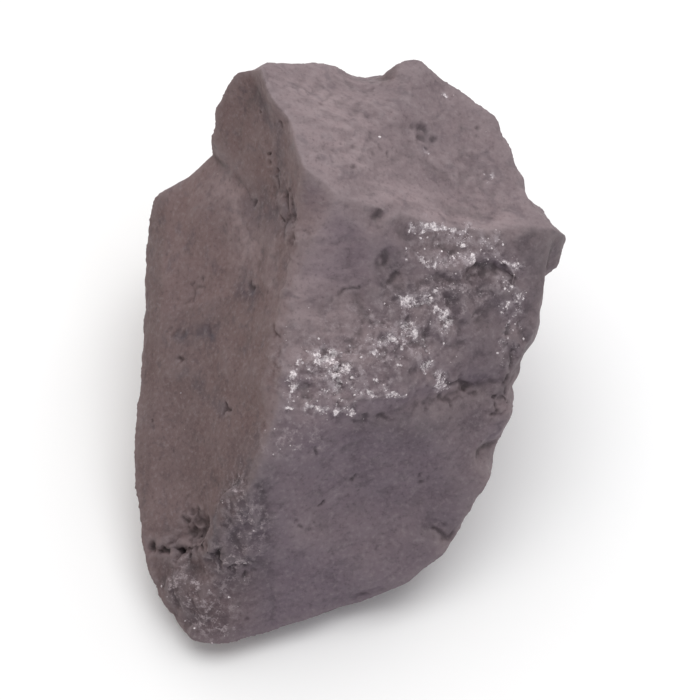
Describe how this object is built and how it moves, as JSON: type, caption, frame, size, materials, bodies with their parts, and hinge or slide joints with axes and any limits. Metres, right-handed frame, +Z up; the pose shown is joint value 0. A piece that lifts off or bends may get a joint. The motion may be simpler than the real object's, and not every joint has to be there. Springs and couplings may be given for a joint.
{
  "type": "raw shungite stone",
  "caption": "Raw lump of dark grey shungite, broken along flat faces, with a raised crown, a front ledge and a pale mineral crust.",
  "frame": {"origin": "on the ground under the middle of the stone's box", "axes": "+Z up from the flat underside, -Y towards the low front foot, +X towards the pointed tip of the crown"},
  "size_m": [0.0436, 0.0552, 0.0386],
  "materials": {
    "shungite": "matte"
  },
  "bodies": {
    "root": {"shungite_stone": "shungite"}
  },
  "joints": []
}
